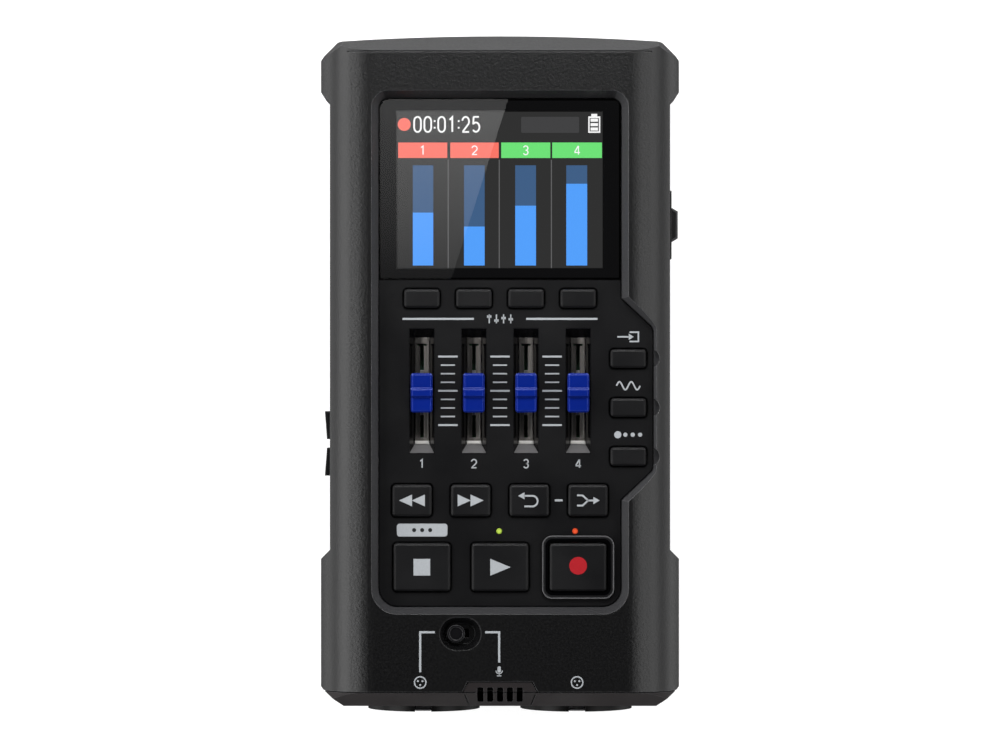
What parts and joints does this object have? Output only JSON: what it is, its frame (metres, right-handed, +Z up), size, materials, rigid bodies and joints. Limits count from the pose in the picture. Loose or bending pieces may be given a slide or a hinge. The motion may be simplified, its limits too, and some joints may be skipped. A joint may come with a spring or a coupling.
{
  "type": "digital multitrack recorder",
  "caption": "Handheld digital multitrack recorder with a colour display, slide faders, function and transport keys and combination input jacks at its lower end.",
  "frame": {"origin": "under the middle of the body, on the surface that the feet stand on", "axes": "+X to the right of the control panel, +Y towards the display end, +Z up out of the control panel"},
  "size_m": [0.0856, 0.161, 0.05],
  "materials": {
    "case_plastic": "soft-touch matte with a fine grain",
    "panel_plastic": "fine matte",
    "lens": "polished, tinted",
    "display": "smooth",
    "circuit_board": "solder mask",
    "black_plastic": "satin",
    "insert_plastic": "smooth moulded",
    "play_light": "clear light pipe",
    "record_light": "clear light pipe",
    "knob_plastic": "satin",
    "key_plastic": "matte",
    "fader_blue": "satin moulded",
    "lever_metal": "plated",
    "fader_metal": "plated sheet",
    "socket_metal": "plated",
    "latch_metal": "plated",
    "speaker_metal": "painted",
    "cell_jacket": "printed sleeve, plain",
    "contact_metal": "nickel plated",
    "bush_brass": "turned",
    "foot_rubber": "soft matte",
    "screw_steel": "black oxide"
  },
  "bodies": {
    "case": {"front_case": "case_plastic", "rear_case": "case_plastic", "bottom_end_cap": "case_plastic", "control_panel": "panel_plastic", "display_lens": "lens", "display_module": "display", "main_board": "circuit_board", "input_board": "circuit_board", "key_switches": "black_plastic", "slide_switches": "black_plastic", "play_lamp": "play_light", "record_lamp": "record_light", "power_bezel": "knob_plastic", "headphone_socket": "black_plastic", "line_out_socket": "black_plastic", "usb_socket": "socket_metal", "card_socket": "socket_metal", "jack_a_housing": "black_plastic", "jack_a_insert": "insert_plastic", "jack_b_housing": "black_plastic", "jack_b_insert": "insert_plastic", "mic_capsule": "socket_metal", "speaker": "speaker_metal", "battery_cells": "cell_jacket", "battery_contacts": "contact_metal", "tripod_bush": "bush_brass", "rubber_feet": "foot_rubber", "screws": "screw_steel", "fader_frames": "fader_metal"},
    "fader_1": {"fader_cap_1": "fader_blue", "fader_lever_1": "lever_metal"},
    "fader_2": {"fader_cap_2": "fader_blue", "fader_lever_2": "lever_metal"},
    "fader_3": {"fader_cap_3": "fader_blue", "fader_lever_3": "lever_metal"},
    "fader_4": {"fader_cap_4": "fader_blue", "fader_lever_4": "lever_metal"},
    "soft_key_1": {"soft_key_1": "key_plastic"},
    "soft_key_2": {"soft_key_2": "key_plastic"},
    "soft_key_3": {"soft_key_3": "key_plastic"},
    "soft_key_4": {"soft_key_4": "key_plastic"},
    "input_key": {"input_key": "key_plastic"},
    "effect_key": {"effect_key": "key_plastic"},
    "rhythm_key": {"rhythm_key": "key_plastic"},
    "rewind_key": {"rewind_key": "key_plastic"},
    "forward_key": {"forward_key": "key_plastic"},
    "undo_key": {"undo_key": "key_plastic"},
    "bounce_key": {"bounce_key": "key_plastic"},
    "stop_key": {"stop_key": "key_plastic"},
    "play_key": {"play_key": "key_plastic"},
    "record_key": {"record_key": "key_plastic"},
    "volume_up_key": {"volume_up_key": "key_plastic"},
    "volume_down_key": {"volume_down_key": "key_plastic"},
    "power_knob": {"power_knob": "knob_plastic"},
    "select_knob": {"select_knob": "knob_plastic"},
    "jack_a_latch": {"jack_a_latch": "latch_metal"},
    "jack_b_latch": {"jack_b_latch": "latch_metal"},
    "battery_door": {"battery_door": "case_plastic"},
    "card_cover": {"card_cover": "knob_plastic"}
  },
  "joints": [
    {"name": "fader_1_slide", "type": "slide", "parent": "case", "child": "fader_1", "axis": [0, 1, 0], "range_m": [-0.00955, 0.01045]},
    {"name": "fader_2_slide", "type": "slide", "parent": "case", "child": "fader_2", "axis": [0, 1, 0], "range_m": [-0.00955, 0.01045]},
    {"name": "fader_3_slide", "type": "slide", "parent": "case", "child": "fader_3", "axis": [0, 1, 0], "range_m": [-0.00955, 0.01045]},
    {"name": "fader_4_slide", "type": "slide", "parent": "case", "child": "fader_4", "axis": [0, 1, 0], "range_m": [-0.00955, 0.01045]},
    {"name": "soft_key_1_press", "type": "slide", "parent": "case", "child": "soft_key_1", "axis": [0, 0, -1], "range_m": [0, 0.00045], "stiffness_N_per_m": 400},
    {"name": "soft_key_2_press", "type": "slide", "parent": "case", "child": "soft_key_2", "axis": [0, 0, -1], "range_m": [0, 0.00045], "stiffness_N_per_m": 400},
    {"name": "soft_key_3_press", "type": "slide", "parent": "case", "child": "soft_key_3", "axis": [0, 0, -1], "range_m": [0, 0.00045], "stiffness_N_per_m": 400},
    {"name": "soft_key_4_press", "type": "slide", "parent": "case", "child": "soft_key_4", "axis": [0, 0, -1], "range_m": [0, 0.00045], "stiffness_N_per_m": 400},
    {"name": "input_key_press", "type": "slide", "parent": "case", "child": "input_key", "axis": [0, 0, -1], "range_m": [0, 0.00045], "stiffness_N_per_m": 400},
    {"name": "effect_key_press", "type": "slide", "parent": "case", "child": "effect_key", "axis": [0, 0, -1], "range_m": [0, 0.00045], "stiffness_N_per_m": 400},
    {"name": "rhythm_key_press", "type": "slide", "parent": "case", "child": "rhythm_key", "axis": [0, 0, -1], "range_m": [0, 0.00045], "stiffness_N_per_m": 400},
    {"name": "rewind_key_press", "type": "slide", "parent": "case", "child": "rewind_key", "axis": [0, 0, -1], "range_m": [0, 0.00045], "stiffness_N_per_m": 400},
    {"name": "forward_key_press", "type": "slide", "parent": "case", "child": "forward_key", "axis": [0, 0, -1], "range_m": [0, 0.00045], "stiffness_N_per_m": 400},
    {"name": "undo_key_press", "type": "slide", "parent": "case", "child": "undo_key", "axis": [0, 0, -1], "range_m": [0, 0.00045], "stiffness_N_per_m": 400},
    {"name": "bounce_key_press", "type": "slide", "parent": "case", "child": "bounce_key", "axis": [0, 0, -1], "range_m": [0, 0.00045], "stiffness_N_per_m": 400},
    {"name": "stop_key_press", "type": "slide", "parent": "case", "child": "stop_key", "axis": [0, 0, -1], "range_m": [0, 0.00045], "stiffness_N_per_m": 400},
    {"name": "play_key_press", "type": "slide", "parent": "case", "child": "play_key", "axis": [0, 0, -1], "range_m": [0, 0.00045], "stiffness_N_per_m": 400},
    {"name": "record_key_press", "type": "slide", "parent": "case", "child": "record_key", "axis": [0, 0, -1], "range_m": [0, 0.00045], "stiffness_N_per_m": 400},
    {"name": "volume_up_key_press", "type": "slide", "parent": "case", "child": "volume_up_key", "axis": [1, 0, 0], "range_m": [0, 0.0005], "stiffness_N_per_m": 400},
    {"name": "volume_down_key_press", "type": "slide", "parent": "case", "child": "volume_down_key", "axis": [1, 0, 0], "range_m": [0, 0.0005], "stiffness_N_per_m": 400},
    {"name": "power_slide", "type": "slide", "parent": "case", "child": "power_knob", "axis": [0, 1, 0], "range_m": [-0.003, 0.003]},
    {"name": "select_slide", "type": "slide", "parent": "case", "child": "select_knob", "axis": [1, 0, 0], "range_m": [0, 0.002]},
    {"name": "jack_a_latch_press", "type": "slide", "parent": "case", "child": "jack_a_latch", "axis": [0, 1, 0], "range_m": [0, 0.001], "stiffness_N_per_m": 400},
    {"name": "jack_b_latch_press", "type": "slide", "parent": "case", "child": "jack_b_latch", "axis": [0, 1, 0], "range_m": [0, 0.001], "stiffness_N_per_m": 400},
    {"name": "battery_door_slide", "type": "slide", "parent": "case", "child": "battery_door", "axis": [0, 1, 0], "range_m": [0, 0.066]},
    {"name": "card_cover_hinge", "type": "hinge", "parent": "case", "child": "card_cover", "pos_m": [0.0397, -0.00455, 0.03435], "axis": [0, 0, 1], "range_deg": [0, 90]}
  ]
}
